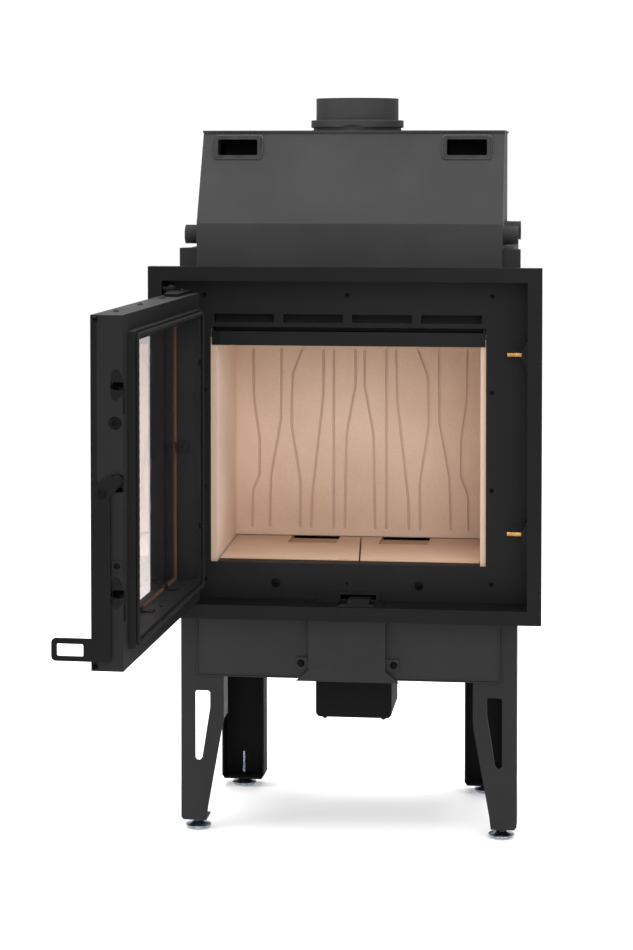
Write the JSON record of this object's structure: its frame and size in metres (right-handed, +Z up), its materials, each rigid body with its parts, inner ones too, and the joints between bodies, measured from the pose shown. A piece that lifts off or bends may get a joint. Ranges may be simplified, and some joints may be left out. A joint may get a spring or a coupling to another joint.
{
  "type": "wood burning stove",
  "caption": "Built-in wood burning stove with a fireclay-lined firebox, a water-heating hood, a side-hung glass door standing open, and four levelling legs.",
  "frame": {"origin": "middle of the whole stove's box on the floor, with the door open at its rest angle", "axes": "+Z up, -Y out of the firebox towards the person who tends it, +X to that person's right"},
  "size_m": [0.7146, 1.0289, 1.2993],
  "materials": {
    "black_paint": "satin heat-proof paint",
    "hood_steel": "matt grey heat-proof paint",
    "bare_steel": "mill finish",
    "fireclay": "matt",
    "vermiculite": "matt board",
    "fire_glass": "clear",
    "seal_rope": "knitted glass fibre",
    "gasket_tape": "glass fibre tape",
    "brass": "turned",
    "zinc": "zinc plated"
  },
  "bodies": {
    "stove": {"air_box": "black_paint", "air_cover": "black_paint", "air_guide": "black_paint", "back_brick": "fireclay", "baffle_bricks": "vermiculite", "base_plate": "black_paint", "carrying_sockets": "hood_steel", "casing_back": "hood_steel", "casing_side_left": "hood_steel", "casing_side_right": "hood_steel", "casing_top": "hood_steel", "catch_brackets": "black_paint", "catch_pins": "brass", "duct_cover": "black_paint", "flue_collar": "black_paint", "flue_pipe": "hood_steel", "frame_hinges": "black_paint", "front_frame": "black_paint", "front_panel": "black_paint", "hood_back": "hood_steel", "hood_front": "hood_steel", "hood_side_left": "hood_steel", "hood_side_right": "hood_steel", "hood_top": "hood_steel", "inner_smoke_hood": "hood_steel", "leg_front_left": "black_paint", "leg_front_right": "black_paint", "leg_rear_left": "black_paint", "leg_rear_right": "black_paint", "panel_screws": "zinc", "pipe_nipples": "hood_steel", "shell_back": "hood_steel", "shell_floor": "black_paint", "shell_side_left": "hood_steel", "shell_side_right": "hood_steel", "side_brick_left": "fireclay", "side_brick_right": "fireclay", "sill_plate": "black_paint", "skirt_panel": "black_paint", "under_fixings": "zinc"},
    "door": {"door_leaf": "black_paint", "door_box": "black_paint", "door_rim": "black_paint", "rope_seal": "seal_rope", "door_glass": "fire_glass", "glass_gaskets": "gasket_tape", "glass_clips": "bare_steel", "hinge_straps": "black_paint", "door_screws": "zinc", "lever_pivot": "bare_steel"},
    "handle": {"handle_lever": "black_paint"},
    "latch": {"latch_bar": "black_paint"},
    "air_control": {"air_slide": "black_paint", "air_lever": "black_paint"},
    "left_floor_brick": {"floor_brick_left": "fireclay"},
    "right_floor_brick": {"floor_brick_right": "fireclay"},
    "front_left_foot": {"foot_front_left": "zinc"},
    "front_right_foot": {"foot_front_right": "zinc"},
    "rear_left_foot": {"foot_rear_left": "zinc"},
    "rear_right_foot": {"foot_rear_right": "zinc"}
  },
  "joints": [
    {"name": "door_hinge", "type": "hinge", "parent": "stove", "child": "door", "pos_m": [-0.28166, 0.08645, 0.694], "axis": [0, 0, 1], "range_deg": [-15, 91.7]},
    {"name": "handle_lever_pivot", "type": "hinge", "parent": "door", "child": "handle", "pos_m": [-0.28029, -0.50785, 0.694], "axis": [-0.0297, -0.9996, 0], "range_deg": [-25, 0]},
    {"name": "latch_slide", "type": "slide", "parent": "door", "child": "latch", "axis": [0, 0, 1], "range_m": [-0.0106, 0]},
    {"name": "air_control_slide", "type": "slide", "parent": "stove", "child": "air_control", "axis": [1, 0, 0], "range_m": [-0.014, 0.008]},
    {"name": "left_floor_brick_lift", "type": "slide", "parent": "stove", "child": "left_floor_brick", "axis": [0, 0, 1], "range_m": [0, 0.03]},
    {"name": "right_floor_brick_lift", "type": "slide", "parent": "stove", "child": "right_floor_brick", "axis": [0, 0, 1], "range_m": [0, 0.03]},
    {"name": "front_left_foot_thread", "type": "slide", "parent": "stove", "child": "front_left_foot", "axis": [0, 0, 1], "range_m": [-0.012, 0]},
    {"name": "front_right_foot_thread", "type": "slide", "parent": "stove", "child": "front_right_foot", "axis": [0, 0, 1], "range_m": [-0.012, 0]},
    {"name": "rear_left_foot_thread", "type": "slide", "parent": "stove", "child": "rear_left_foot", "axis": [0, 0, 1], "range_m": [-0.012, 0]},
    {"name": "rear_right_foot_thread", "type": "slide", "parent": "stove", "child": "rear_right_foot", "axis": [0, 0, 1], "range_m": [-0.012, 0]}
  ],
  "couplings": [
    {"joint": "latch_slide", "follows": "handle_lever_pivot", "m_per_rad": 0.024}
  ]
}
